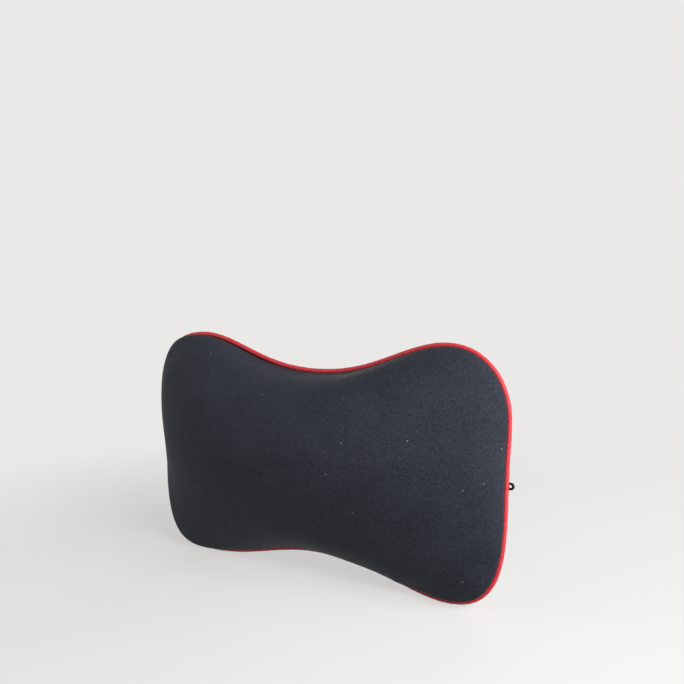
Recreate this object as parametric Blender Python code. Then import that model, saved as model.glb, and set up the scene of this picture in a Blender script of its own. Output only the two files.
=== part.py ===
"""Foam headrest pillow: a bone-shaped foam core in a zipped knit cover with red piping and an elastic strap.

Metres, +Z up. The pillow stands upright as it is used: X is its width, its domed front faces -Y and its
flat back lies in the plane Y = 0. The origin is the centre of the back, just above the zip.
"""

import math

import bmesh
import bpy
import numpy as np
from mathutils import Vector
from mathutils.bvhtree import BVHTree

# Clearance between pieces that touch on the real pillow
GAP = 0.0003

# Seam outline from the front: half width, height from lobe to lobe, and top lobes above the origin
HALF_WIDTH = 0.1475
LOBE_HEIGHT = 0.172
TOP_LOBE_Z = 0.0815
# Its waists, lobes and corners: in from the side, down from the top lobes, up from the bottom lobes
TOP_WAIST_DROP = 0.0235
BOTTOM_WAIST_RISE = 0.017
TOP_LOBE_INSET = 0.0415
TOP_CORNER_INSET = 0.005
TOP_CORNER_DROP = 0.023
SIDE_UPPER_INSET = 0.001
SIDE_UPPER_DROP = 0.0655
SIDE_LOWER_INSET = 0.004
SIDE_LOWER_RISE = 0.0425
BOTTOM_LOBE_INSET = 0.037
# The flanks of the two waists
TOP_FLANK_X = 0.053
TOP_FLANK_RISE = 0.009
BOTTOM_FLANK_X = 0.039
BOTTOM_FLANK_DROP = 0.005

# Front dome: depth in the middle, gain towards the ends, fullness, and its tuck and roll at the rim
DOME_DEPTH = 0.050
END_DEPTH_GAIN = 0.005
DOME_FULLNESS = 2.15
EDGE_FULLNESS = 1.12
EDGE_TUCK = math.radians(12.0)
RIM_ROLL = 0.18

# Back: how far the seam lies in front of it, where it is flat, and how round its shoulder is
SEAM_SETBACK = 0.022
FLAT_SHARE = 0.80
SHOULDER_POWER = 2.3

# Cover cloth, and how much smaller the foam is than the cover
COVER_THICK = 0.0012
CORE_INSET = 0.0026

# Piping: a cord in a strip of cloth, whose flange is caught in the seam
PIPING_R = 0.0017
PIPING_OUT = 0.0022
FLANGE_THICK = 0.0010
FLANGE_REACH = 0.0022

# Zip across the back, below the strap
ZIP_Z = -0.014
ZIP_END_INSET = 0.0375
ZIP_OPENING_HALF = 0.005
TAPE_WIDTH = 0.012
TAPE_THICK = 0.0006
TAPE_PAST_END = 0.006
SLIT_HALF = 0.0008
TOOTH_PITCH = 0.0025
TOOTH_WIDTH = 0.0015
TOOTH_LENGTH = 0.0014
TOOTH_ROOT = 0.0014
TOOTH_HEIGHT = 0.0021
STOP_LENGTH = 0.0022

# Zip slider: two plates joined by a wedge, with a bail for the pull
SLIDER_LENGTH = 0.0090
SLIDER_NOSE_HALF = 0.0046
SLIDER_TAIL_HALF = 0.0042
SLIDER_PLATE = 0.0011
SLIDER_INNER_PLATE = 0.0008
SLIDER_WEDGE_HALF = 0.0005
SLIDER_WEDGE_LENGTH = 0.0026
SLIDER_RIM = 0.0008
BAIL_HOLE_R = 0.0013
BAIL_THICK = 0.0009
BAIL_WIDTH = 0.0018

# Pull: a flat tab that hangs on the bail by its end bar
PULL_LENGTH = 0.039
PULL_WIDTH = 0.0056
PULL_NECK_WIDTH = 0.0050
PULL_THICK = 0.0012
PULL_WINDOW_LENGTH = 0.0038
PULL_WINDOW_WIDTH = 0.0026
PULL_HOLE_R = 0.0011
PULL_HOLE_INSET = 0.0030

# Elastic strap: sewn down near both side seams with its ends folded under, and bowed off between them
STRAP_LOW_Z = 0.012
STRAP_WIDTH = 0.028
STRAP_THICK = 0.0014
STRAP_END_INSET = 0.010
STRAP_LIFT_INSET = 0.040
STRAP_BOW = 0.022
STRAP_FOLD_LENGTH = 0.016
STRAP_FOLD_THICK = 0.0024

# The back's upright strip between zip and strap, and the lean of the panel above it per unit of height
UPRIGHT_TOP_Z = 0.009
STRAP_LEAN = 0.010

# Mesh fineness
ROUND_STEPS = 64
DOME_RINGS = 9
SHOULDER_RINGS = 4
PIPING_SIDES = 9
STRAP_STEPS = 44
FLAT_TINY = 1e-9
MERGE_TINY = 1e-7

# The rows of teeth, which end a set way in from the sides of the outline
ZIP_HALF_LENGTH = HALF_WIDTH - ZIP_END_INSET

# Levels of the zip, measured out from the plane of the back
TAPE_TOP_Y = -COVER_THICK - GAP
TAPE_UNDER_Y = TAPE_TOP_Y - TAPE_THICK
TOOTH_UNDER_Y = TAPE_TOP_Y + GAP
TOOTH_TOP_Y = TOOTH_UNDER_Y + TOOTH_HEIGHT
PLATE_UNDER_Y = TOOTH_TOP_Y + GAP
PLATE_TOP_Y = PLATE_UNDER_Y + SLIDER_PLATE
INNER_PLATE_TOP_Y = TAPE_UNDER_Y - GAP
INNER_PLATE_UNDER_Y = INNER_PLATE_TOP_Y - SLIDER_INNER_PLATE
CORE_BACK_Y = INNER_PLATE_UNDER_Y - GAP
PIVOT_Y = PLATE_TOP_Y + BAIL_HOLE_R
SLIDER_X = ZIP_HALF_LENGTH - SLIDER_LENGTH / 2


def clear_scene():
    """Removes every object that the scene starts with."""
    for thing in list(bpy.data.objects):
        bpy.data.objects.remove(thing, do_unlink=True)


def finish_of(name, colour, roughness, metallic=0.0):
    """A Principled material with one colour, roughness and metallic value."""
    material = bpy.data.materials.new(name)
    material.use_nodes = True
    shader = material.node_tree.nodes["Principled BSDF"]
    shader.inputs["Base Color"].default_value = (*colour, 1.0)
    shader.inputs["Roughness"].default_value = roughness
    shader.inputs["Metallic"].default_value = metallic
    return material


def add_object(name, mesh, material, smooth_under=None, location=(0, 0, 0)):
    """Puts a mesh into the scene under its node name, smooth below the given angle."""
    if material:
        mesh.materials.append(material)
    thing = bpy.data.objects.new(name, mesh)
    thing.location = location
    bpy.context.scene.collection.objects.link(thing)
    if smooth_under is not None:
        mesh.shade_smooth()
        mesh.set_sharp_from_angle(angle=math.radians(smooth_under))
    return thing


def mesh_from(name, points, faces):
    """A mesh with its faces turned outwards."""
    mesh = bpy.data.meshes.new(name)
    mesh.from_pydata([tuple(map(float, point)) for point in points], [], faces)
    shape = bmesh.new()
    shape.from_mesh(mesh)
    bmesh.ops.recalc_face_normals(shape, faces=shape.faces)
    shape.to_mesh(mesh)
    shape.free()
    return mesh


def prism_mesh(name, outline, low_y, high_y):
    """An outline of X and Z points, extruded along Y."""
    count = len(outline)
    points = [(x, low_y, z) for x, z in outline] + [(x, high_y, z) for x, z in outline]
    sides = [(i, (i + 1) % count, (i + 1) % count + count, i + count) for i in range(count)]
    return mesh_from(name, points, [list(range(count)), list(range(2 * count - 1, count - 1, -1)), *sides])


def add_cutter(name, mesh, parent=None):
    """A shape that only cuts or joins another, so it is hidden in renders."""
    cutter = add_object(name, mesh, None)
    cutter.hide_render = True
    cutter.display_type = "WIRE"
    cutter.parent = parent
    return cutter


def boolean(thing, other, operation):
    """Cuts another shape out of an object, or joins it on."""
    modifier = thing.modifiers.new(f"{operation.lower()}_{other.name}", "BOOLEAN")
    modifier.operation = operation
    modifier.object = other
    modifier.solver = "EXACT"


# The outline and the surfaces that grow from it


def outline_points():
    """The 16 points of the seam outline, clockwise from the top waist."""
    top_waist_z = TOP_LOBE_Z - TOP_WAIST_DROP
    bottom_lobe_z = TOP_LOBE_Z - LOBE_HEIGHT
    bottom_waist_z = bottom_lobe_z + BOTTOM_WAIST_RISE
    right = [
        (0.0, top_waist_z),
        (TOP_FLANK_X, top_waist_z + TOP_FLANK_RISE),
        (HALF_WIDTH - TOP_LOBE_INSET, TOP_LOBE_Z),
        (HALF_WIDTH - TOP_CORNER_INSET, TOP_LOBE_Z - TOP_CORNER_DROP),
        (HALF_WIDTH - SIDE_UPPER_INSET, TOP_LOBE_Z - SIDE_UPPER_DROP),
        (HALF_WIDTH - SIDE_LOWER_INSET, bottom_lobe_z + SIDE_LOWER_RISE),
        (HALF_WIDTH - BOTTOM_LOBE_INSET, bottom_lobe_z),
        (BOTTOM_FLANK_X, bottom_waist_z - BOTTOM_FLANK_DROP),
        (0.0, bottom_waist_z),
    ]
    left = [(-x, z) for x, z in reversed(right[1:-1])]
    return np.array(right + left)


def outline_waves():
    """The outline as a Fourier series: each wave's number and its complex size."""
    points = outline_points()
    count = len(points)
    sizes = np.fft.fft(points[:, 0] + 1j * points[:, 1]) / count
    numbers = np.fft.fftfreq(count, 1 / count)
    middle = count // 2
    sizes[middle] /= 2
    return np.append(numbers, middle), np.append(sizes, sizes[middle])


def ring(share, angles, out=0.0):
    """X and Z round one ring, share 1 being the seam. Finer waves fade sooner towards the middle,
    so the rings grow rounder there, and a ring wider than the seam is the outline scaled up. The ring
    may be moved outwards in its own plane."""
    numbers, sizes = outline_waves()
    fade = np.where(numbers == 0, 1.0, share * min(share, 1.0) ** np.maximum(np.abs(numbers) - 1, 0))
    waves = (sizes * fade)[:, None] * np.exp(1j * numbers[:, None] * angles)
    flat = waves.sum(axis=0)
    along = (waves * 1j * numbers[:, None]).sum(axis=0)
    if out:
        flat = flat + out * 1j * along / np.abs(along)
    return np.stack([flat.real, flat.imag], axis=1)


def round_angles():
    """The steps round every ring, evenly spaced."""
    return np.arange(ROUND_STEPS) * 2 * math.pi / ROUND_STEPS


def dome_lift(rise):
    """The share of the dome's depth at a rising angle: its sine to a power, softened to a round turn
    where the sine is near nothing."""
    power = 1 / EDGE_FULLNESS - 0.5
    high = math.sin(rise)
    return high * ((high**2 + RIM_ROLL**2) / (1 + RIM_ROLL**2)) ** power


def front_rings():
    """The dome as rings from its rim to near its top: X and Z shrink with the cosine of a rising angle
    to a power, and the depth grows with its sine."""
    angles = round_angles()
    rim_y = -SEAM_SETBACK - FLANGE_THICK / 2 - GAP
    start = dome_lift(-EDGE_TUCK)
    rim_share = math.cos(EDGE_TUCK) ** (2 / DOME_FULLNESS)
    rings = []
    for step in range(DOME_RINGS):
        rise = -EDGE_TUCK + (math.pi / 2 + EDGE_TUCK) * step / DOME_RINGS
        share = math.cos(rise) ** (2 / DOME_FULLNESS) / rim_share
        flat = ring(share, angles)
        depth = DOME_DEPTH + END_DEPTH_GAIN * (flat[:, 0] / HALF_WIDTH) ** 2
        rings.append(np.stack([flat[:, 0], rim_y - depth * (dome_lift(rise) - start), flat[:, 1]], axis=1))
    flat = ring(0.0, np.zeros(1))
    top = np.array([flat[0, 0], rim_y - DOME_DEPTH * (1 - start), flat[0, 1]])
    return np.array(rings), top


def back_rings():
    """The back's shoulder as rings from its rim to the edge of the flat: the depth falls as a power of
    the way left to the flat."""
    angles = round_angles()
    drop = SEAM_SETBACK - FLANGE_THICK / 2 - GAP
    rings = []
    for step in range(SHOULDER_RINGS + 1):
        left = 1 - step / SHOULDER_RINGS
        flat = ring(FLAT_SHARE + (1 - FLAT_SHARE) * left, angles)
        depth = np.full(ROUND_STEPS, -drop * left**SHOULDER_POWER)
        rings.append(np.stack([flat[:, 0], depth, flat[:, 1]], axis=1))
    return np.array(rings)


def moved_in(rings, distance, towards_y):
    """Rings moved inwards along the surface's normal, which leans out of the pillow and to the given side."""
    around = np.roll(rings, -1, axis=1) - np.roll(rings, 1, axis=1)
    across = np.gradient(rings, axis=0)
    normals = np.cross(around, across)
    normals /= np.linalg.norm(normals, axis=2, keepdims=True)
    outwards = rings - rings.mean(axis=1, keepdims=True)
    outwards[:, :, 1] = SEAM_SETBACK * towards_y
    sign = np.sign((normals * outwards).sum(axis=2, keepdims=True))
    return rings - distance * sign * normals


def band(first, second):
    """The quads between two rings, named by their first point."""
    count = ROUND_STEPS
    return [
        (first + i, first + (i + 1) % count, second + (i + 1) % count, second + i) for i in range(count)
    ]


def stack_faces(start, count):
    """The quads of a stack of rings that begins at a point number."""
    faces = []
    for step in range(count - 1):
        faces += band(start + step * ROUND_STEPS, start + (step + 1) * ROUND_STEPS)
    return faces


def fan(start, top):
    """The triangles from a ring to one point."""
    return [(start + i, start + (i + 1) % ROUND_STEPS, top) for i in range(ROUND_STEPS)]


# The soft pieces


def build_front_cover(material):
    """The front panel: a bowl of knit cloth that ends at the seam."""
    outer, top = front_rings()
    inner = moved_in(outer, COVER_THICK, -1)
    inner[:, :, 1] = np.minimum(inner[:, :, 1], outer[0, 0, 1])
    inner_top = top + np.array([0, COVER_THICK, 0])
    points = np.concatenate([outer.reshape(-1, 3), [top], inner.reshape(-1, 3), [inner_top]])
    count = DOME_RINGS * ROUND_STEPS
    inner_start = count + 1
    last = (DOME_RINGS - 1) * ROUND_STEPS
    faces = stack_faces(0, DOME_RINGS) + fan(last, count)
    faces += stack_faces(inner_start, DOME_RINGS) + fan(inner_start + last, inner_start + count)
    faces += band(0, inner_start)
    return add_object("front_cover", mesh_from("front_cover", points, faces), material, 50)


def back_shell_mesh(name):
    """The whole back as one bowl with a flat bottom, bent along the top of its upright strip. Above that
    it leans inwards with its height, and the lean fades towards the seam."""
    outer = back_rings()
    inner = moved_in(outer, COVER_THICK, 1)
    inner[0, :, 1] = outer[0, :, 1]
    inner[:, :, 1] = np.minimum(inner[:, :, 1], -COVER_THICK)
    inner[1:, :, 1] = np.maximum(inner[1:, :, 1], outer[0, 0, 1] + FLAT_TINY)
    inner[-1, :, 1] = -COVER_THICK
    points = np.concatenate([outer.reshape(-1, 3), inner.reshape(-1, 3)])
    rings = SHOULDER_RINGS + 1
    count = rings * ROUND_STEPS
    flat_start = SHOULDER_RINGS * ROUND_STEPS
    faces = stack_faces(0, rings) + stack_faces(count, rings) + band(0, count)
    faces.append(tuple(flat_start + i for i in range(ROUND_STEPS)))
    faces.append(tuple(count + flat_start + i for i in range(ROUND_STEPS)))
    mesh = mesh_from(name, points, faces)
    shape = bmesh.new()
    shape.from_mesh(mesh)
    parts = list(shape.verts) + list(shape.edges) + list(shape.faces)
    bmesh.ops.bisect_plane(
        shape, geom=parts, plane_co=(0, 0, UPRIGHT_TOP_Z), plane_no=(0, 0, 1), dist=MERGE_TINY
    )
    for vert in shape.verts:
        height = max(vert.co.z - UPRIGHT_TOP_Z, 0)
        fade = max(1 + vert.co.y / SEAM_SETBACK, 0)
        vert.co.y -= STRAP_LEAN * height * fade
    shape.to_mesh(mesh)
    shape.free()
    return mesh


def back_cutter_mesh(name, side):
    """What is cut off the back to leave its upper (side 1) or lower (side -1) panel: the other half,
    and on this half the zip's opening."""
    far_x = HALF_WIDTH * 2
    far_z = ZIP_Z - side * HALF_WIDTH * 2
    meet_z = ZIP_Z + side * GAP / 2
    open_z = ZIP_Z + side * ZIP_OPENING_HALF
    open_x = ZIP_HALF_LENGTH + STOP_LENGTH + 2 * GAP
    outline = [
        (-far_x, far_z),
        (far_x, far_z),
        (far_x, meet_z),
        (open_x, meet_z),
        (open_x, open_z),
        (-open_x, open_z),
        (-open_x, meet_z),
        (-far_x, meet_z),
    ]
    return prism_mesh(name, outline, -SEAM_SETBACK * 2, SEAM_SETBACK)


def build_back_panels(material):
    """The upper and lower back panels, which meet in a seam at both ends of the zip."""
    panels = []
    for name, side in (("back_cover_upper", 1), ("back_cover_lower", -1)):
        panel = add_object(name, back_shell_mesh(name), material, 50)
        cutter = add_cutter(f"{name}_cut", back_cutter_mesh(f"{name}_cut", side))
        boolean(panel, cutter, "DIFFERENCE")
        panels.append(panel)
    return panels


def build_core(material):
    """The moulded foam core: the same form as the cover's, smaller by the core's inset."""
    front, top = front_rings()
    front = moved_in(front, CORE_INSET, -1)
    back = moved_in(back_rings(), CORE_INSET, 1)
    back[:, :, 1] = np.minimum(back[:, :, 1], CORE_BACK_Y)
    flat = ring(1.0, round_angles(), -FLANGE_REACH - GAP)
    seam = np.stack([flat[:, 0], np.full(ROUND_STEPS, -SEAM_SETBACK), flat[:, 1]], axis=1)[None]
    front = front[front[:, :, 1].max(axis=1) < -SEAM_SETBACK - FLANGE_THICK / 2]
    back = back[back[:, :, 1].min(axis=1) > -SEAM_SETBACK + FLANGE_THICK / 2]
    stack = np.concatenate([back[::-1], seam, front])
    points = np.concatenate([stack.reshape(-1, 3), [top + np.array([0, CORE_INSET, 0])]])
    faces = stack_faces(0, len(stack))
    faces += fan((len(stack) - 1) * ROUND_STEPS, len(stack) * ROUND_STEPS)
    faces.append(tuple(range(ROUND_STEPS)))
    return add_object("foam_core", mesh_from("foam_core", points, faces), material, 50)


def build_piping(material):
    """The piping: a round cord with a flat flange towards the foam, carried once round the seam."""
    angles = round_angles()
    half = FLANGE_THICK / 2
    open_angle = math.asin(half / PIPING_R)
    turns = np.linspace(math.pi - open_angle, -math.pi + open_angle, PIPING_SIDES)
    section = [(PIPING_OUT + PIPING_R * math.cos(a), PIPING_R * math.sin(a)) for a in turns]
    section += [(-FLANGE_REACH, -half), (-FLANGE_REACH, half)]
    points = []
    for out, lift in section:
        flat = ring(1.0, angles, out)
        points.append(np.stack([flat[:, 0], np.full(ROUND_STEPS, -SEAM_SETBACK + lift), flat[:, 1]], axis=1))
    faces = []
    for step in range(len(section)):
        faces += band(step * ROUND_STEPS, (step + 1) % len(section) * ROUND_STEPS)
    return add_object("piping", mesh_from("piping", np.concatenate(points), faces), material, 50)


# The strap


def back_height(tree, x):
    """How far out the back reaches under the strap's width at one X."""
    heights = []
    for z in np.linspace(STRAP_LOW_Z, STRAP_LOW_Z + STRAP_WIDTH, 5):
        hit = tree.ray_cast(Vector((x, 1.0, z)), Vector((0, -1, 0)))
        heights.append(hit[0].y if hit[0] else -SEAM_SETBACK)
    return max(heights)


def build_strap(material):
    """The strap: a flat band on the back's shoulder at both ends, where it is folded and so thicker, and
    bowed off the back between them."""
    shell = back_shell_mesh("strap_guide")
    tree = BVHTree.FromPolygons([v.co for v in shell.vertices], [p.vertices for p in shell.polygons])
    end_x = HALF_WIDTH - STRAP_END_INSET
    lift_x = HALF_WIDTH - STRAP_LIFT_INSET
    xs = end_x * np.sin(np.linspace(-math.pi / 2, math.pi / 2, STRAP_STEPS + 1))
    ground = np.array([back_height(tree, x) for x in xs])
    bpy.data.meshes.remove(shell)
    bow = np.where(np.abs(xs) < lift_x, STRAP_BOW * (1 + np.cos(math.pi * xs / lift_x)) / 2, 0)
    middle = np.stack([xs, ground + bow], axis=1)
    along = np.gradient(middle, axis=0)
    along /= np.linalg.norm(along, axis=1, keepdims=True)
    out = np.stack([-along[:, 1], along[:, 0]], axis=1)
    under = middle + out * GAP * 1.5
    folded = np.abs(xs) > end_x - STRAP_FOLD_LENGTH
    over = under + out * np.where(folded, STRAP_FOLD_THICK, STRAP_THICK)[:, None]
    points = []
    for line, z in ((under, 0), (over, 0), (over, STRAP_WIDTH), (under, STRAP_WIDTH)):
        points += [(x, y, STRAP_LOW_Z + z) for x, y in line]
    count = len(xs)
    faces = []
    for side in range(4):
        a, b = side * count, (side + 1) % 4 * count
        faces += [(a + i, a + i + 1, b + i + 1, b + i) for i in range(count - 1)]
    faces.append(tuple(side * count for side in range(4)))
    faces.append(tuple(side * count + count - 1 for side in range(4)))
    return add_object("strap", mesh_from("strap", points, faces), material, 50)


# The zip


def build_tapes(material):
    """The two zip tapes, sewn under the edges of the back panels."""
    end = ZIP_HALF_LENGTH + TAPE_PAST_END
    for name, side in (("zip_tape_upper", 1), ("zip_tape_lower", -1)):
        near = ZIP_Z + side * (SLIT_HALF + GAP)
        far = ZIP_Z + side * TAPE_WIDTH
        outline = [(-end, near), (end, near), (end, far), (-end, far)]
        add_object(name, prism_mesh(name, outline, TAPE_UNDER_Y, TAPE_TOP_Y), material)


def tooth_row(side):
    """The outline of one row of teeth: a root strip with a tooth at every pitch. The lower row's teeth
    stand half a pitch along from the upper row's."""
    root_z = ZIP_Z + side * (SLIT_HALF + TOOTH_LENGTH)
    tip_z = ZIP_Z + side * SLIT_HALF
    far_z = root_z + side * TOOTH_ROOT
    span = 2 * ZIP_HALF_LENGTH - TOOTH_PITCH
    count = int(span / TOOTH_PITCH + FLAT_TINY)
    start = -count * TOOTH_PITCH / 2 + (side + 1) / 2 * TOOTH_PITCH / 2
    outline = [(-ZIP_HALF_LENGTH, far_z), (-ZIP_HALF_LENGTH, root_z)]
    for number in range(count):
        low = start + number * TOOTH_PITCH - TOOTH_WIDTH / 2
        taper = TOOTH_WIDTH / 6
        outline += [
            (low, root_z),
            (low + taper, tip_z),
            (low + TOOTH_WIDTH - taper, tip_z),
            (low + TOOTH_WIDTH, root_z),
        ]
    outline += [(ZIP_HALF_LENGTH, root_z), (ZIP_HALF_LENGTH, far_z)]
    return outline


def build_teeth(material):
    """The two rows of teeth, with the slit between them that the slider's wedge runs in."""
    for name, side in (("zip_teeth_upper", 1), ("zip_teeth_lower", -1)):
        add_object(name, prism_mesh(name, tooth_row(side), TOOTH_UNDER_Y, TOOTH_TOP_Y), material)


def build_stops(material):
    """The end stops: one across both rows at the far end, and one on each row where the slider rests."""
    row_far = SLIT_HALF + TOOTH_LENGTH + TOOTH_ROOT
    left = -ZIP_HALF_LENGTH - GAP
    outline = [
        (left, ZIP_Z - row_far),
        (left, ZIP_Z + row_far),
        (left - STOP_LENGTH, ZIP_Z + row_far),
        (left - STOP_LENGTH, ZIP_Z - row_far),
    ]
    add_object("zip_stop_end", prism_mesh("zip_stop_end", outline, TOOTH_UNDER_Y, TOOTH_TOP_Y), material)
    right = ZIP_HALF_LENGTH + GAP
    for name, side in (("zip_stop_upper", 1), ("zip_stop_lower", -1)):
        outline = [
            (right, ZIP_Z + side * (SLIT_HALF + GAP)),
            (right + STOP_LENGTH, ZIP_Z + side * (SLIT_HALF + GAP)),
            (right + STOP_LENGTH, ZIP_Z + side * row_far),
            (right, ZIP_Z + side * row_far),
        ]
        add_object(name, prism_mesh(name, outline, TOOTH_UNDER_Y, TOOTH_TOP_Y), material)


def plate_outline():
    """The slider's plate, about its middle: a tapered tail and a rounded nose towards +X."""
    half = SLIDER_LENGTH / 2
    shoulder = half * 0.35
    outline = [(-half, -SLIDER_TAIL_HALF), (shoulder, -SLIDER_NOSE_HALF)]
    for step in range(1, 6):
        turn = math.radians(-90 + 30 * step)
        outline.append((shoulder + (half - shoulder) * math.cos(turn), SLIDER_NOSE_HALF * math.sin(turn)))
    outline += [(shoulder, SLIDER_NOSE_HALF), (-half, SLIDER_TAIL_HALF)]
    return outline


def rim_outline(side):
    """One side rim of the outer plate, which wraps the outside of a row of teeth."""
    half = SLIDER_LENGTH / 2
    inner = SLIT_HALF + TOOTH_LENGTH + TOOTH_ROOT + GAP
    outer = inner + SLIDER_RIM
    return [
        (-half * 0.95, side * inner),
        (half * 0.45, side * inner),
        (half * 0.35, side * outer),
        (-half * 0.95, side * outer),
    ]


def wedge_outline():
    """The wedge between the plates: pointed towards the tail, in the slit between the teeth."""
    nose = SLIDER_LENGTH * 0.40
    tail = nose - SLIDER_WEDGE_LENGTH
    point = tail + SLIDER_WEDGE_LENGTH * 0.3
    wide = SLIDER_WEDGE_HALF
    return [(tail, 0.0), (point, -wide), (nose, -wide), (nose, wide), (point, wide)]


def bail_mesh(name):
    """The bail: a half ring over the plate, in the plane of the zip's run and the pull's swing."""
    outer_r = BAIL_HOLE_R + BAIL_THICK
    bite = SLIDER_PLATE / 2
    section = []
    for step in range(9):
        turn = math.pi * step / 8
        section.append((outer_r * math.cos(turn), PIVOT_Y + outer_r * math.sin(turn)))
    section.append((-outer_r, PLATE_TOP_Y - bite))
    section.append((-BAIL_HOLE_R, PLATE_TOP_Y - bite))
    for step in range(9):
        turn = math.pi * (1 - step / 8)
        section.append((BAIL_HOLE_R * math.cos(turn), PIVOT_Y + BAIL_HOLE_R * math.sin(turn)))
    section.append((BAIL_HOLE_R, PLATE_TOP_Y - bite))
    section.append((outer_r, PLATE_TOP_Y - bite))
    count = len(section)
    points = [(x, y, -BAIL_WIDTH / 2) for x, y in section] + [(x, y, BAIL_WIDTH / 2) for x, y in section]
    sides = [(i, (i + 1) % count, (i + 1) % count + count, i + count) for i in range(count)]
    return mesh_from(name, points, [list(range(count)), list(range(2 * count - 1, count - 1, -1)), *sides])


def build_slider(material):
    """The slider, closed at the right end of the zip."""
    bite = SLIDER_PLATE / 3
    outer = prism_mesh("zip_slider", plate_outline(), PLATE_UNDER_Y, PLATE_TOP_Y)
    slider = add_object("zip_slider", outer, material, 30, (SLIDER_X, 0, ZIP_Z))
    joined = {
        "slider_inner_plate": prism_mesh(
            "slider_inner_plate", plate_outline(), INNER_PLATE_UNDER_Y, INNER_PLATE_TOP_Y
        ),
        "slider_wedge": prism_mesh(
            "slider_wedge", wedge_outline(), INNER_PLATE_TOP_Y - bite, PLATE_UNDER_Y + bite
        ),
        "slider_rim_upper": prism_mesh(
            "slider_rim_upper", rim_outline(1), TAPE_TOP_Y + GAP, PLATE_UNDER_Y + bite
        ),
        "slider_rim_lower": prism_mesh(
            "slider_rim_lower", rim_outline(-1), TAPE_TOP_Y + GAP, PLATE_UNDER_Y + bite
        ),
        "slider_bail": bail_mesh("slider_bail"),
    }
    order = ["slider_wedge", "slider_inner_plate", "slider_rim_upper", "slider_rim_lower", "slider_bail"]
    for name in order:
        boolean(slider, add_cutter(name, joined[name], slider), "UNION")
    return slider


def pull_outline():
    """The pull about its hinge, pointing to +X: a square end bar, a narrow neck and a round tip."""
    bar = PULL_THICK / 2
    neck = bar + PULL_WINDOW_LENGTH + PULL_THICK
    end = PULL_LENGTH - bar
    half = PULL_WIDTH / 2
    outline = [(-bar, -PULL_NECK_WIDTH / 2), (neck, -PULL_NECK_WIDTH / 2), (neck + half, -half)]
    for step in range(7):
        turn = math.radians(-90 + 30 * step)
        outline.append((end - half + half * math.cos(turn), half * math.sin(turn)))
    outline += [(neck + half, half), (neck, PULL_NECK_WIDTH / 2), (-bar, PULL_NECK_WIDTH / 2)]
    return outline


def build_pull(material, slider):
    """The pull, hung on the slider's bail and lying along the back with its tip to the right."""
    thick = PULL_THICK / 2
    pull = add_object("zip_pull", prism_mesh("zip_pull", pull_outline(), -thick, thick), material, 30)
    pull.parent = slider
    pull.location = (0, PIVOT_Y, 0)
    window_start = thick
    window_end = window_start + PULL_WINDOW_LENGTH
    half = PULL_WINDOW_WIDTH / 2
    window = [(window_start, -half), (window_end, -half), (window_end, half), (window_start, half)]
    hole_x = PULL_LENGTH - thick - PULL_HOLE_INSET
    hole = []
    for step in range(12):
        turn = math.tau * step / 12
        hole.append((hole_x + PULL_HOLE_R * math.cos(turn), PULL_HOLE_R * math.sin(turn)))
    for name, outline in (("pull_window", window), ("pull_hole", hole)):
        mesh = prism_mesh(name, outline, -PULL_THICK, PULL_THICK)
        boolean(pull, add_cutter(name, mesh, pull), "DIFFERENCE")
    return pull


def main():
    clear_scene()
    knit = finish_of("charcoal_knit", (0.020, 0.021, 0.025), 0.75)
    foam = finish_of("charcoal_memory_foam", (0.055, 0.057, 0.060), 0.95)
    red_knit = finish_of("red_piping_cloth", (0.62, 0.025, 0.030), 0.60)
    elastic = finish_of("black_elastic", (0.015, 0.015, 0.017), 0.85)
    tape = finish_of("black_zip_tape", (0.014, 0.014, 0.016), 0.85)
    teeth = finish_of("black_nylon_teeth", (0.018, 0.018, 0.020), 0.40)
    steel = finish_of("dark_plated_zinc", (0.16, 0.155, 0.15), 0.35, 1.0)
    build_core(foam)
    build_front_cover(knit)
    build_back_panels(knit)
    build_piping(red_knit)
    build_strap(elastic)
    build_tapes(tape)
    build_teeth(teeth)
    build_stops(steel)
    slider = build_slider(steel)
    build_pull(steel, slider)


main()
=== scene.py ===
"""The looks of the foam headrest pillow: charcoal knit over a foam core, red piping, elastic strap and zip.

Metres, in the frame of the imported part: X is the width, the domed front faces -Y, the flat back lies in
the plane Y = 0, and +Z is up. The cover panels start a little slack and are blown up by a cloth simulation.
"""

import math

import bmesh
import bpy
import numpy as np
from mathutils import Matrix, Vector
from mathutils.bvhtree import BVHTree


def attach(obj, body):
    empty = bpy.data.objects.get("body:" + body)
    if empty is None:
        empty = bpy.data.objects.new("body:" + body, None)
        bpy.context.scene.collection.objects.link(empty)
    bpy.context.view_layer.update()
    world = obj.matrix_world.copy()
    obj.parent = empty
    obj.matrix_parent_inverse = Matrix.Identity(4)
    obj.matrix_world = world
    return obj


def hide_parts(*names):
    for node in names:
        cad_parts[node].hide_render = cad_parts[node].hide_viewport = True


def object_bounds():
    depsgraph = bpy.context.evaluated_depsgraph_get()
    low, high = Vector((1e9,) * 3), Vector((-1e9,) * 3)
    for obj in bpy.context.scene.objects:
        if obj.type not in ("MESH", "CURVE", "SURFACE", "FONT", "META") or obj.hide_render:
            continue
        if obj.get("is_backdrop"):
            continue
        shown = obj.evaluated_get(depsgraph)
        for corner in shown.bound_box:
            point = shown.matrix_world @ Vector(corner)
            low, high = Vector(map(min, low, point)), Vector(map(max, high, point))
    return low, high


# Seam outline from the front: half width, height from lobe to lobe, and top lobes above the origin
HALF_WIDTH = 0.1475
LOBE_HEIGHT = 0.172
TOP_LOBE_Z = 0.0815
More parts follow.
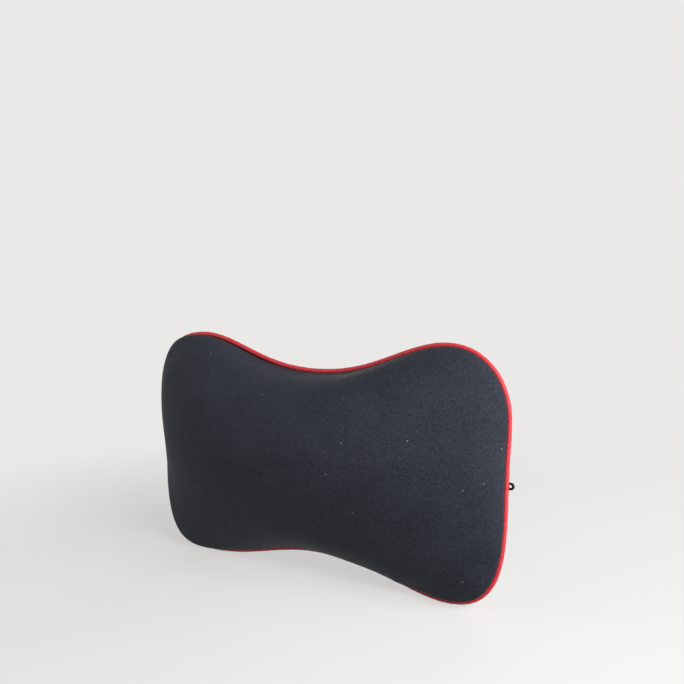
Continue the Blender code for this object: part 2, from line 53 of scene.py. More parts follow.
# Its waists, lobes and corners: in from the side, down from the top lobes, up from the bottom lobes
TOP_WAIST_DROP = 0.0235
BOTTOM_WAIST_RISE = 0.017
TOP_LOBE_INSET = 0.0415
TOP_CORNER_INSET = 0.005
TOP_CORNER_DROP = 0.023
SIDE_UPPER_INSET = 0.001
SIDE_UPPER_DROP = 0.0655
SIDE_LOWER_INSET = 0.004
SIDE_LOWER_RISE = 0.0425
BOTTOM_LOBE_INSET = 0.037
TOP_FLANK_X = 0.053
TOP_FLANK_RISE = 0.009
BOTTOM_FLANK_X = 0.039
BOTTOM_FLANK_DROP = 0.005

# Front dome
DOME_DEPTH = 0.050
END_DEPTH_GAIN = 0.005
DOME_FULLNESS = 2.15
EDGE_FULLNESS = 1.12
EDGE_TUCK = math.radians(12.0)
RIM_ROLL = 0.18

# Back
SEAM_SETBACK = 0.022
FLAT_SHARE = 0.80
SHOULDER_POWER = 2.3
UPRIGHT_TOP_Z = 0.009
STRAP_LEAN = 0.010

# Cloth, and the gap between pieces that touch
GAP = 0.0003
COVER_THICK = 0.0012

# Piping, and how much its radius varies over a short and a long wave
PIPING_R = 0.0017
PIPING_OUT = 0.0022
FLANGE_THICK = 0.0010
FLANGE_REACH = 0.0022
GATHERS = ((0.030, 0.0062), (0.020, 0.023))

# Strap
STRAP_LOW_Z = 0.012
STRAP_WIDTH = 0.028
STRAP_THICK = 0.0014
STRAP_END_INSET = 0.010
STRAP_LIFT_INSET = 0.040
STRAP_BOW = 0.022
STRAP_RIB_PITCH = 0.0014
STRAP_RIB_DEPTH = 0.00016
STRAP_FOLD_LENGTH = 0.016
STRAP_FOLD_THICK = 0.0024

# Zip
ZIP_Z = -0.014
ZIP_HALF_LENGTH = HALF_WIDTH - 0.0375
ZIP_OPENING_HALF = 0.005
ZIP_END_MARGIN = 0.0028
TAPE_WIDTH = 0.012
TAPE_THICK = 0.0006
TAPE_PAST_END = 0.006
TAPE_TOP_Y = -COVER_THICK - GAP
TOOTH_PITCH = 0.0025
TOOTH_UNDER_Y = TAPE_TOP_Y + GAP
TOOTH_HEIGHT = 0.0021
TOOTH_TIP_Z = 0.0007
TOOTH_FAR_Z = 0.0036
TOOTH_HALF_WIDTH = 0.00082
TOOTH_SHIFT = 0.00075
TOOTH_CORD_R = 0.0006
TOOTH_CORD_INSET = 0.0008
SLIT_HALF = 0.0007
STOP_ROUNDING = 0.00025
SLIDER_ROUNDING = 0.00015
PULL_ROUNDING = 0.00020

# Hem of the panels along the zip: its width, how far it stands out, the roundings at its far side and its
# fold, the groove of its stitches, and the sewn valley past the opening
HEM_WIDTH = 0.0080
HEM_RISE = 0.0005
HEM_SLOPE = 0.0012
FOLD_DROP = 0.0005
FOLD_WIDTH = 0.0008
GROOVE_DEPTH = 0.0004
GROOVE_WIDTH = 0.0005
VALLEY_DEPTH = 0.0008
VALLEY_WIDTH = 0.0009

# Stitches: their pitch, length and thread, and how far they lie from the edges of the hem and the strap
STITCH_PITCH = 0.0028
STITCH_LENGTH = 0.0022
THREAD_R = 0.00022
HEM_STITCH_INSET = 0.0030
STRAP_STITCH_INSET = 0.0025
ZIP_STITCH_PAST_END = 0.0030
ZIP_STITCH_NEAR_Z = 0.0012

# The panels' coarse grid, about 3 mm, and how they are blown up: pressure and the most a point may move
GRID_COLUMNS = 96
GRID_ROWS = 64
FRONT_PRESSURE = 4.0
FRONT_CAP = 0.0025
BACK_PRESSURE = 1.0
BACK_CAP = 0.0006
SIM_FRAMES = 20

# Puckers beside the seam: how deep they are, how soon they die away, and the lengths of their waves
FRONT_PUCKER = 0.0005
BACK_PUCKER = 0.0004
PUCKER_FADE = 0.006
PUCKER_WAVES = ((1.0, 0.0083, 1.7, 0.041), (0.6, 0.0131, 2.3, 0.067))

# At rest the foam under the lower right lobe tapers towards the seam: centre, direction, how much, how far
# from the centre it starts and is whole, and how far in front of the seam
TAPER_CENTRE = (0.095, -0.045)
TAPER_AIM = (0.45, -0.893)
TAPER_SIZE = 0.0060
TAPER_AWAY = (0.008, 0.046)
TAPER_FRONT = (0.0008, 0.0120)
# At rest the outline is uneven by a few millimetres: X and Z of each spot, how far it moves, and its radius
REST_MOVES = (
    ((-0.147, -0.004), (0.0022, 0.0), 0.024),
    ((-0.105, -0.094), (0.0004, 0.0022), 0.030),
    ((-0.138, 0.076), (-0.0012, 0.0024), 0.020),
    ((0.060, -0.083), (0.0, 0.0020), 0.026),
)
# At rest the dome is fuller from its middle upwards and slacker below: how far in front of the seam this
# starts and is whole, how much it is, between which heights it fills out, and where it is slackest
DOME_FRONT = (0.004, 0.022)
UPPER_FULL = 0.0034
FULL_FROM_Z = -0.036
FULL_TO_Z = 0.012
LOWER_SLACK = 0.0034
SLACK_Z = -0.050
SLACK_RADIUS = 0.026

# Camera, fitted to the pillow's outline in the photograph
CAMERA_PLACE = (0.3461, -0.5399, 0.1376)
CAMERA_TURN = (84.833, 0.520, 31.982)
CAMERA_LENS = 44.74

# Colours, as sRGB
KNIT_DARK = "1d1f25"
KNIT_LIGHT = "33363f"
KNIT_SHEEN = "9fb0c8"
LINT = "8c9098"
RED_CLOTH = "c6353d"
# Painted shade of the red piping, darkening the valleys between its ribs
RED_VALLEY_SHADE = "9c2129"
PAPER = "dddbd8"
PAPER_BOUNCE = "787674"
BACKDROP = "eae9e7"

# Patterns of the knit: stitches, tufts of fuzz, clouds of tone, and the spacing of lint
KNIT_STITCH = 0.0005
KNIT_TUFT = 0.0010
KNIT_CLOUD = 0.030
LINT_SPACING = 0.027

# How much of the even backdrop tone the floor takes beside the pillow, and the light from the world
PAPER_GLOW = 0.60
WORLD_STRENGTH = 0.03

# The paper sweep: how far the floor reaches, the curve's radius, the wall's top and half the width
SWEEP_FRONT = -2.2
SWEEP_BACK = 1.6
SWEEP_RADIUS = 0.9
SWEEP_HEIGHT = 2.6
SWEEP_HALF_WIDTH = 3.2

# Soft lamps: name, degrees round from the front to the right, degrees up, power and colour
LAMP_SIZE = 0.6
LAMP_DISTANCE = 1.3
LAMPS = (
    ("front_right", 60, 20, 23.5, "fffefc"),
    ("upper_right", 80, 38, 9.0, "fffefc"),
    ("right_edge", 115, 10, 9.5, "e6eeff"),
    ("left", -60, 12, 5.5, "f4f7ff"),
    ("behind", 190, 10, 7.0, "ffffff"),
)


def waves():
    """The seam outline as a Fourier series: each wave's number and its complex size."""
    top_waist_z = TOP_LOBE_Z - TOP_WAIST_DROP
    bottom_lobe_z = TOP_LOBE_Z - LOBE_HEIGHT
    bottom_waist_z = bottom_lobe_z + BOTTOM_WAIST_RISE
    right = [
        (0.0, top_waist_z),
        (TOP_FLANK_X, top_waist_z + TOP_FLANK_RISE),
        (HALF_WIDTH - TOP_LOBE_INSET, TOP_LOBE_Z),
        (HALF_WIDTH - TOP_CORNER_INSET, TOP_LOBE_Z - TOP_CORNER_DROP),
        (HALF_WIDTH - SIDE_UPPER_INSET, TOP_LOBE_Z - SIDE_UPPER_DROP),
        (HALF_WIDTH - SIDE_LOWER_INSET, bottom_lobe_z + SIDE_LOWER_RISE),
        (HALF_WIDTH - BOTTOM_LOBE_INSET, bottom_lobe_z),
        (BOTTOM_FLANK_X, bottom_waist_z - BOTTOM_FLANK_DROP),
        (0.0, bottom_waist_z),
    ]
    points = np.array(right + [(-x, z) for x, z in reversed(right[1:-1])])
    count = len(points)
    sizes = np.fft.fft(points[:, 0] + 1j * points[:, 1]) / count
    numbers = np.fft.fftfreq(count, 1 / count)
    sizes[count // 2] /= 2
    return np.append(numbers, count // 2), np.append(sizes, sizes[count // 2])


WAVE_NUMBERS, WAVE_SIZES = waves()


def plan(share, angle, out=0.0):
    """X and Z at a share of the seam outline, 1 being the seam: the outline's waves, the finer ones fading
    sooner towards the middle, and scaled up past the seam. It may be moved outwards in its own plane."""
    share, angle = np.broadcast_arrays(np.asarray(share, float), np.asarray(angle, float))
    total = np.zeros(share.shape, complex)
    along = np.zeros(share.shape, complex)
    for number, size in zip(WAVE_NUMBERS, WAVE_SIZES):
        power = max(abs(number) - 1, 0)
        fade = 1.0 if number == 0 else share * np.minimum(share, 1.0) ** power
        wave = size * fade * np.exp(1j * number * angle)
        total += wave
        along += 1j * number * wave
    if np.any(out):
        total = total + out * 1j * along / np.maximum(np.abs(along), 1e-9)
    return total.real, total.imag


def dome_lift(rise):
    """The share of the dome's depth at a rising angle: its sine to a power, with a round turn at nothing."""
    power = 1 / EDGE_FULLNESS - 0.5
    high = np.sin(rise)
    return high * ((high**2 + RIM_ROLL**2) / (1 + RIM_ROLL**2)) ** power


def step(value, low, high):
    """A smooth step from 0 at the low value to 1 at the high one."""
    share = np.clip((value - low) / (high - low), 0, 1)
    return share * share * (3 - 2 * share)


def at_rest(points):
    """Moves points from the pattern's shape to the rest shape. The lower right lobe is drawn in towards its
    centre, by more the further a point lies from it and the closer its direction is to the lobe's. Each spot
    of the outline moves as a bell curve. The dome fills out by a smooth step and slackens as a bell curve."""
    points = np.array(points, float)
    flat = points[..., [0, 2]] - np.array(TAPER_CENTRE)
    away = np.maximum(np.linalg.norm(flat, axis=-1), 1e-9)
    aim = (flat @ np.array(TAPER_AIM)) / away
    ahead = -points[..., 1] - SEAM_SETBACK
    size = TAPER_SIZE * step(aim, 0.50, 0.92) * step(away, *TAPER_AWAY) * step(ahead, *TAPER_FRONT)
    points[..., 0] -= size * flat[..., 0] / away
    points[..., 2] -= size * flat[..., 1] / away
    for (x, z), (move_x, move_z), radius in REST_MOVES:
        bell = np.exp(-((points[..., 0] - x) ** 2 + (points[..., 2] - z) ** 2) / radius**2)
        points[..., 0] += move_x * bell
        points[..., 2] += move_z * bell
    full = UPPER_FULL * step(points[..., 2], FULL_FROM_Z, FULL_TO_Z)
    slack = LOWER_SLACK * np.exp(-(((points[..., 2] - SLACK_Z) / SLACK_RADIUS) ** 2))
    points[..., 1] += step(ahead, *DOME_FRONT) * (slack - full)
    return points


def front_surface(reach, angle):
    """The front panel at a reach from its middle (0) to its rim (1): the plan shrinks with the cosine of a
    rising angle to a power, and the depth grows with the sine."""
    rise = math.pi / 2 - reach * (math.pi / 2 + EDGE_TUCK)
    start = dome_lift(-EDGE_TUCK)
    rim_share = math.cos(EDGE_TUCK) ** (2 / DOME_FULLNESS)
    share = np.maximum(np.cos(rise), 0) ** (2 / DOME_FULLNESS) / rim_share
    x, z = plan(share, angle)
    depth = DOME_DEPTH + END_DEPTH_GAIN * (x / HALF_WIDTH) ** 2
    rim_y = -SEAM_SETBACK - FLANGE_THICK / 2 - GAP
    return np.stack([x, rim_y - depth * (dome_lift(rise) - start), z], axis=-1)


def back_surface(reach, angle):
    """The back panel at a reach from its middle (0) to its rim (1): flat, then falling away as a power of
    the way past the flat, and leaning inwards with height above the upright strip."""
    x, z = plan(reach, angle)
    left = np.maximum(reach - FLAT_SHARE, 0) / (1 - FLAT_SHARE)
    drop = SEAM_SETBACK - FLANGE_THICK / 2 - GAP
    y = -drop * left**SHOULDER_POWER
    y -= STRAP_LEAN * np.maximum(z - UPRIGHT_TOP_Z, 0) * np.maximum(1 + y / SEAM_SETBACK, 0)
    return np.stack([x, y, z], axis=-1)


def disc_grid(columns, rows):
    """A square grid pressed into a disc: each side is pulled in by the root of one less half the other
    coordinate's square. Returns each point's reach and angle, clockwise from the top, and the quads."""
    u, v = np.meshgrid(np.linspace(-1, 1, columns + 1), np.linspace(-1, 1, rows + 1))
    x = u * np.sqrt(1 - v**2 / 2)
    z = v * np.sqrt(1 - u**2 / 2)
    first = (np.arange(rows)[:, None] * (columns + 1) + np.arange(columns)).ravel()
    quads = np.stack([first, first + 1, first + columns + 2, first + columns + 1], axis=1)
    return np.hypot(x, z).ravel(), np.arctan2(x, z).ravel(), quads


def cloth_map(surface, reach, angle):
    """Each point's place on the flat cloth, in metres: its direction from the middle in plan, times its
    distance from there measured along the surface in short steps."""
    steps = 24
    length = np.zeros(reach.shape)
    before = surface(reach * 0, angle)
    middle = before[:, [0, 2]]
    for number in range(1, steps + 1):
        here = surface(reach * number / steps, angle)
        length += np.linalg.norm(here - before, axis=1)
        before = here
    away = before[:, [0, 2]] - middle
    size = np.maximum(np.linalg.norm(away, axis=1, keepdims=True), 1e-9)
    return middle + away / size * length[:, None]


def new_object(name, data):
    """A new object in the scene, with its data."""
    thing = bpy.data.objects.new(name, data)
    bpy.context.scene.collection.objects.link(thing)
    return thing


def mesh_object(name, points, faces, uv=None):
    """A mesh object of points and faces that face outwards, with a UV map in metres if one is given."""
    mesh = bpy.data.meshes.new(name)
    mesh.from_pydata(np.asarray(points, float).reshape(-1, 3), [], faces)
    if uv is not None:
        corner = np.zeros(len(mesh.loops), np.int32)
        mesh.loops.foreach_get("vertex_index", corner)
        layer = mesh.uv_layers.new(name="cloth")
        layer.data.foreach_set("uv", np.asarray(uv, np.float32)[corner].ravel())
    mesh.shade_smooth()
    mesh.update()
    return new_object(name, mesh)


def points_of(mesh):
    """A mesh's points as an array."""
    points = np.zeros(len(mesh.vertices) * 3, np.float32)
    mesh.vertices.foreach_get("co", points)
    return points.reshape(-1, 3).astype(float)


def settled(piece):
    """Applies the piece's modifiers to its mesh."""
    graph = bpy.context.evaluated_depsgraph_get()
    mesh = bpy.data.meshes.new_from_object(piece.evaluated_get(graph))
    piece.modifiers.clear()
    old = piece.data
    piece.data = mesh
    bpy.data.meshes.remove(old)


def blow_up(piece, rim, pressure, cap):
    """Blows the panel up as cloth that is held at its rim, and returns how far each point moves. No point
    moves further than the cap: a longer move is bent towards it by a hyperbolic tangent."""
    start = points_of(piece.data)
    held = piece.vertex_groups.new(name="seam")
    held.add([int(i) for i in np.flatnonzero(rim)], 1.0, "REPLACE")
    cloth = piece.modifiers.new("air", "CLOTH")
    cloth.settings.vertex_group_mass = "seam"
    cloth.settings.use_pressure = True
    cloth.settings.uniform_pressure_force = pressure
    cloth.settings.effector_weights.gravity = 0
    cloth.settings.quality = 6
    cloth.collision_settings.use_collision = False
    cloth.collision_settings.use_self_collision = False
    for frame_number in range(1, SIM_FRAMES + 1):
        bpy.context.scene.frame_set(frame_number)
    graph = bpy.context.evaluated_depsgraph_get()
    moved = points_of(piece.evaluated_get(graph).data) - start
    length = np.linalg.norm(moved, axis=1, keepdims=True)
    piece.modifiers.clear()
    bpy.context.scene.frame_set(1)
    print(f"{piece.name} moves up to {length.max() * 1000:.1f} mm before its cap")
    return moved * cap * np.tanh(length / cap) / np.maximum(length, 1e-9)


def thickened(piece, thickness):
    """Gives a sheet its thickness, inwards from its outer face."""
    solid = piece.modifiers.new("thickness", "SOLIDIFY")
    solid.thickness = thickness
    solid.offset = -1.0


# Materials, and the kinds of node that they use most

MATH = "ShaderNodeMath"
RANGE = "ShaderNodeMapRange"
MIX = "ShaderNodeMix"
NOISE = "ShaderNodeTexNoise"
CELLS = "ShaderNodeTexVoronoi"
SPLIT = "ShaderNodeSeparateXYZ"


def linear(hex_colour):
    """An sRGB hex colour as linear values."""
    values = [int(hex_colour[i : i + 2], 16) / 255 for i in (0, 2, 4)]
    return [v / 12.92 if v <= 0.04045 else ((v + 0.055) / 1.055) ** 2.4 for v in values] + [1.0]


def add(tree, kind, settings=None, links=None, output=0):
    """Adds a node with its settings (attributes, and input values by name or number) and its links (from
    sockets to inputs), and returns one of its outputs."""
    node = tree.nodes.new(kind)
    for name, value in (settings or {}).items():
        if isinstance(name, str) and hasattr(node, name):
            setattr(node, name, value)
        else:
            node.inputs[name].default_value = value
    for name, socket in (links or {}).items():
        tree.links.new(socket, node.inputs[name])
    return node.outputs[output]


def new_material(name, settings):
    """A material with a Principled shader whose constant inputs are set. Returns it, its tree and shader."""
    material = bpy.data.materials.new(name)
    material.use_nodes = True
    tree = material.node_tree
    shader = tree.nodes["Principled BSDF"]
    for socket, value in settings.items():
        shader.inputs[socket].default_value = value
    return material, tree, shader


def wire(tree, shader, sockets):
    """Links node outputs to the shader's inputs, by name."""
    for name, socket in sockets.items():
        tree.links.new(socket, shader.inputs[name])


def dress(piece, material):
    """Gives the piece one material."""
    piece.data.materials.clear()
    piece.data.materials.append(material)


def knit_material():
    """Warp-knit polyester with elastane, brushed: matt charcoal with a faint bluish sheen at the edges. The
    stitches are 0.5 mm wide. The fuzz over them is drawn as tufts 1 mm wide, coarser than the real ones, so
    that it shows as a fine grain, and a few specks of pale lint cling to it."""
    finish = {"Roughness": 0.50, "Specular IOR Level": 0.05, "Sheen Weight": 0.02, "Sheen Roughness": 0.40}
    finish["Sheen Tint"] = linear(KNIT_SHEEN)
    material, tree, shader = new_material("brushed_polyester_knit", finish)
    stitch = KNIT_STITCH
    cloth = add(tree, "ShaderNodeUVMap", {"uv_map": "cloth"})
    across = add(tree, SPLIT, None, {0: cloth}, "X")
    along = add(tree, SPLIT, None, {0: cloth}, "Y")
    wale = add(tree, MATH, {"operation": "PINGPONG", 1: stitch / 2}, {0: across})
    lean = add(tree, MATH, {"operation": "MULTIPLY_ADD", 1: 0.9}, {0: wale, 2: along})
    turn = add(tree, MATH, {"operation": "MULTIPLY", 1: math.tau / stitch}, {0: lean})
    loop = add(tree, MATH, {"operation": "SINE"}, {0: turn})
    side = add(tree, MATH, {"operation": "MULTIPLY", 1: math.tau / stitch}, {0: across})
    ridge = add(tree, MATH, {"operation": "COSINE"}, {0: side})
    yarn = add(tree, MATH, {"operation": "MULTIPLY_ADD", 1: 0.6}, {0: loop, 2: ridge})
    tuft = {"voronoi_dimensions": "2D", "Scale": 1 / KNIT_TUFT}
    fuzz = add(tree, CELLS, tuft, {0: cloth}, "Distance")
    shade = add(tree, CELLS, tuft, {0: cloth}, "Color")
    height = add(tree, MATH, {"operation": "MULTIPLY_ADD", 1: 1.5}, {0: fuzz, 2: yarn})
    cloud = add(tree, NOISE, {"Scale": 1 / KNIT_CLOUD, "Detail": 2.0}, {0: cloth})
    tone = add(tree, MATH, {"operation": "MULTIPLY_ADD", 1: 1.1}, {0: shade, 2: cloud})
    level = add(tree, RANGE, {"From Min": 0.15, "From Max": 1.95}, {0: tone})
    tones = {"data_type": "RGBA", 6: linear(KNIT_DARK), 7: linear(KNIT_LIGHT)}
    grain = add(tree, MIX, tones, {0: level}, 2)
    specks = {"voronoi_dimensions": "2D", "Scale": 1 / LINT_SPACING}
    fleck_way = add(tree, CELLS, specks, {0: cloth}, "Distance")
    fleck_kind = add(tree, CELLS, specks, {0: cloth}, "Color")
    dot = add(tree, RANGE, {"From Min": 0.020, "From Max": 0.008}, {0: fleck_way})
    few = add(tree, RANGE, {"From Min": 0.58, "From Max": 0.85, "To Max": 0.9}, {0: fleck_kind})
    fleck = add(tree, MATH, {"operation": "MULTIPLY"}, {0: dot, 1: few})
    colour = add(tree, MIX, {"data_type": "RGBA", 7: linear(LINT)}, {0: fleck, 6: grain}, 2)
    bump = add(tree, "ShaderNodeBump", {"Strength": 0.6, "Distance": 0.00012}, {"Height": height})
    wire(tree, shader, {"Base Color": colour, "Normal": bump})
    return material


def twill_material(name, light, dark, pitch, slope, finish, depth):
    """A woven cloth with slanted ribs: the ribs run across the cloth's length at a slope, one to each pitch,
    with painted shade that darkens the valleys between them, unevenly at random."""
    material, tree, shader = new_material(name, finish)
    cloth = add(tree, "ShaderNodeUVMap", {"uv_map": "cloth"})
    along = add(tree, SPLIT, None, {0: cloth}, "X")
    across = add(tree, SPLIT, None, {0: cloth}, "Y")
    lean = add(tree, MATH, {"operation": "MULTIPLY_ADD", 1: slope}, {0: across, 2: along})
    turn = add(tree, MATH, {"operation": "MULTIPLY", 1: math.tau / pitch}, {0: lean})
    rib = add(tree, MATH, {"operation": "SINE"}, {0: turn})
    # Painted shade: the colour darkens from each rib's crest into its valley, patchy with noise
    level = add(tree, RANGE, {"From Min": -1.0}, {0: rib})
    worn = add(tree, NOISE, {"Scale": 1 / 0.004, "Detail": 3.0}, {0: cloth})
    mixed = add(tree, MATH, {"operation": "MULTIPLY"}, {0: level, 1: worn})
    share = add(tree, RANGE, {"From Max": 0.45}, {0: mixed})
    both = {"data_type": "RGBA", 6: linear(dark), 7: linear(light)}
    colour = add(tree, MIX, both, {0: share}, 2)
    bump = add(tree, "ShaderNodeBump", {"Strength": 0.6, "Distance": depth}, {"Height": rib})
    wire(tree, shader, {"Base Color": colour, "Normal": bump})
    return material


def piping_material():
    """Red polyester satin cut on the bias, with a faint gloss. The real yarns are 0.3 mm apart. They are
    drawn 0.8 mm apart so that they show."""
    finish = {"Roughness": 0.58, "Specular IOR Level": 0.30, "Sheen Weight": 0.08, "Sheen Roughness": 0.4}
    return twill_material("red_bias_satin", RED_CLOTH, RED_VALLEY_SHADE, 0.0008, 1.0, finish, 0.00006)


def elastic_material():
    """Braided elastic, polyester over rubber: dull black, with slanted yarns on each lengthwise rib."""
    finish = {"Roughness": 0.8, "Sheen Weight": 0.2, "Sheen Roughness": 0.5}
    return twill_material("braided_elastic", "2b2b2e", "141416", 0.0011, 0.8, finish, 0.00008)


def tape_material():
    """Woven polyester zip tape: matt black, with a fine slanted weave drawn 0.7 mm apart."""
    finish = {"Roughness": 0.85, "Sheen Weight": 0.1}
    return twill_material("woven_zip_tape", "28282b", "161618", 0.0007, 1.0, finish, 0.00005)


def spotted_material(name, pattern, scale, dark, light, finish, gloss=None, bump=None):
    """A material whose one pattern, in object coordinates, mixes a dark and a light colour. It may also set
    the roughness between two values, and raise the surface by a strength and a distance."""
    material, tree, shader = new_material(name, finish)
    place = add(tree, "ShaderNodeTexCoord", output="Object")
    spots = add(tree, pattern, scale, {0: place})
    both = {"data_type": "RGBA", 6: linear(dark), 7: linear(light)}
    sockets = {"Base Color": add(tree, MIX, both, {0: spots}, 2)}
    if gloss:
        ends = {"To Min": gloss[0], "To Max": gloss[1]}
        sockets["Roughness"] = add(tree, RANGE, ends, {0: spots})
    if bump:
        relief = {"Strength": bump[0], "Distance": bump[1]}
        sockets["Normal"] = add(tree, "ShaderNodeBump", relief, {"Height": spots})
    wire(tree, shader, sockets)
    return material


def thread_material():
    """Bonded polyester thread: dark, with a faint gloss and a twist drawn as slanted lines."""
    twist = {"bands_direction": "DIAGONAL", "Scale": 1 / 0.0024}
    finish = {"Roughness": 0.5, "Sheen Weight": 0.1}
    return spotted_material("bonded_thread", "ShaderNodeTexWave", twist, "1d1d20", "36363b", finish)


def teeth_material():
    """Moulded acetal: black, a low waxy gloss, faintly uneven from the mould."""
    spots = {"Scale": 1 / 0.0012, "Detail": 2.0}
    finish = {"Specular IOR Level": 0.45, "IOR": 1.48}
    return spotted_material("moulded_acetal", NOISE, spots, "1b1b1d", "2a2a2d", finish, (0.32, 0.5))


def zinc_material():
    """Die-cast zinc with a dark nickel plate: smooth, with fine tumbling marks."""
    marks = {"Scale": 1 / 0.0009, "Detail": 4.0}
    name, finish = "dark_nickel_plate", {"Metallic": 1.0}
    return spotted_material(name, NOISE, marks, "3a3835", "5f5c58", finish, (0.22, 0.42), (0.2, 0.00003))


def foam_material():
    """Moulded memory foam with charcoal in it: matt grey, open cells drawn 0.9 mm wide."""
    cells = {"Scale": 1 / 0.0009}
    finish = {"Roughness": 0.95, "Sheen Weight": 0.1}
    name = "charcoal_memory_foam"
    return spotted_material(name, CELLS, cells, "2e2f31", "58595c", finish, None, (0.8, 0.0003))


def seen_rays(tree):
    """One for a ray from the camera, a reflection or glass, and nothing for a ray that only brings light."""
    path = tree.nodes.new("ShaderNodeLightPath").outputs
    larger = {"operation": "MAXIMUM"}
    direct = add(tree, MATH, larger, {0: path["Is Camera Ray"], 1: path["Is Glossy Ray"]})
    return add(tree, MATH, larger, {0: direct, 1: path["Is Transmission Ray"]})


def sweep_material():
    """The pale paper floor and backdrop. Near the pillow it is partly lit and takes its shadow. Further off,
    rays from the camera, reflections and glass see one even pale tone."""
    material, tree, shader = new_material("pale_paper", {"Roughness": 0.9, "Specular IOR Level": 0.1})
    seen = seen_rays(tree)
    tones = {"data_type": "RGBA", 6: linear(PAPER_BOUNCE), 7: linear(PAPER)}
    paper = add(tree, MIX, tones, {0: seen}, 2)
    tree.links.new(paper, shader.inputs["Base Color"])
    place = add(tree, "ShaderNodeTexCoord", output="Object")
    away = add(tree, "ShaderNodeVectorMath", {"operation": "LENGTH"}, {0: place}, "Value")
    fade = {"interpolation_type": "SMOOTHSTEP", "From Min": 0.20, "From Max": 0.60, "To Min": PAPER_GLOW}
    far = add(tree, RANGE, fade, {0: away})
    share = add(tree, MATH, {"operation": "MULTIPLY"}, {0: seen, 1: far})
    even = add(tree, "ShaderNodeEmission", {"Color": linear(BACKDROP)})
    both = add(tree, "ShaderNodeMixShader", None, {0: share, 1: shader.outputs[0], 2: even})
    tree.links.new(both, tree.nodes["Material Output"].inputs["Surface"])
    return material


# Cover panels


def seam_length(angle):
    """How far along the seam each angle lies, in metres."""
    turn = np.linspace(-math.pi, math.pi, 1441)
    x, z = plan(1.0, turn)
    run = np.concatenate([[0], np.cumsum(np.hypot(np.diff(x), np.diff(z)))])
    return np.interp(angle, turn, run)


def puckers(reach, angle, depth):
    """How far the cloth is drawn in beside the seam: uneven ripples along the seam's length, which die away
    with the distance from it, and are deeper round the corners."""
    x, z = plan(1.0, angle)
    inward = (1 - reach) * np.hypot(x, z)
    run = seam_length(angle)
    ripple = 0
    for size, wave, sway, sway_wave in PUCKER_WAVES:
        ripple = ripple + size * np.sin(math.tau * run / wave + sway * np.sin(math.tau * run / sway_wave))
    near_corner = np.clip((np.abs(x) - 0.07) / 0.05, 0, 1) * np.clip((np.abs(z) - 0.02) / 0.05, 0, 1)
    corner = 0.35 + 0.65 * near_corner
    return depth * corner * (0.5 + 0.3 * ripple) * np.exp(-inward / PUCKER_FADE)


def finer_field(field, rows, columns):
    """A field on the coarse grid, spread over a grid twice as fine: linear in between, then smoothed with
    weights of one, two and one both ways."""
    field = field.reshape(rows + 1, columns + 1, -1)
    tall = np.empty((2 * rows + 1, columns + 1, field.shape[2]))
    tall[::2] = field
    tall[1::2] = (field[1:] + field[:-1]) / 2
    wide = np.empty((2 * rows + 1, 2 * columns + 1, field.shape[2]))
    wide[:, ::2] = tall
    wide[:, 1::2] = (tall[:, 1:] + tall[:, :-1]) / 2
    for _ in range(2):
        wide[1:-1] = (wide[:-2] + 2 * wide[1:-1] + wide[2:]) / 4
        wide[:, 1:-1] = (wide[:, :-2] + 2 * wide[:, 1:-1] + wide[:, 2:]) / 4
    return wide.reshape(-1, field.shape[2])


def normals_of(points, rows, columns):
    """The normals of a grid of points, from the cross product of its two directions."""
    grid = points.reshape(rows + 1, columns + 1, 3)
    cross = np.cross(np.gradient(grid, axis=1), np.gradient(grid, axis=0))
    return (cross / np.maximum(np.linalg.norm(cross, axis=2, keepdims=True), 1e-12)).reshape(-1, 3)


def cover_panel(name, surface, facing, pressure, cap, pucker_depth):
    """One panel of the cover, blown up as cloth on a coarse grid. The cloth's moves are carried to a grid
    twice as fine, which then gets its puckers. Facing is -1 for the front and 1 for the back."""
    columns, rows = GRID_COLUMNS, GRID_ROWS
    reach, angle, quads = disc_grid(columns, rows)
    quads = quads[:, ::-1] if facing > 0 else quads
    start = at_rest(surface(reach, angle))
    slack = mesh_object(f"{name}_slack", start, quads)
    moved = blow_up(slack, reach > 0.999, pressure, cap)
    bpy.data.objects.remove(slack)
    reach, angle, quads = disc_grid(2 * columns, 2 * rows)
    quads = quads[:, ::-1] if facing > 0 else quads
    points = at_rest(surface(reach, angle)) + finer_field(moved, rows, columns)
    normals = normals_of(points, 2 * rows, 2 * columns)
    normals *= np.sign((normals[:, 1] * facing).mean())
    points -= normals * puckers(reach, angle, pucker_depth)[:, None]
    return mesh_object(name, points, quads, cloth_map(surface, reach, angle))


def front_panel(knit):
    """The knit front, over the dome."""
    piece = cover_panel("knit_front", front_surface, -1, FRONT_PRESSURE, FRONT_CAP, FRONT_PUCKER)
    thickened(piece, COVER_THICK)
    dress(piece, knit)
    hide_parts("front_cover")
    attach(piece, "pillow")


def hem_height(x, z):
    """How far the back stands out near the zip: a hem beside the opening, rounded at its fold and drawn in
    along its stitches, and past the opening's ends a sewn valley between the panels."""
    away = np.abs(z - ZIP_Z)
    end = ZIP_HALF_LENGTH + ZIP_END_MARGIN
    inside = 1 - step(np.abs(x), end - 0.001, end + 0.006)
    far = ZIP_OPENING_HALF + HEM_WIDTH
    hem = HEM_RISE * (1 - step(away, far - HEM_SLOPE, far))
    hem -= FOLD_DROP * (1 - step(away, ZIP_OPENING_HALF, ZIP_OPENING_HALF + FOLD_WIDTH))
    hem -= GROOVE_DEPTH * np.exp(-(((away - ZIP_OPENING_HALF - HEM_STITCH_INSET) / GROOVE_WIDTH) ** 2))
    valley = -VALLEY_DEPTH * np.exp(-away / VALLEY_WIDTH)
    return inside * hem + (1 - inside) * valley


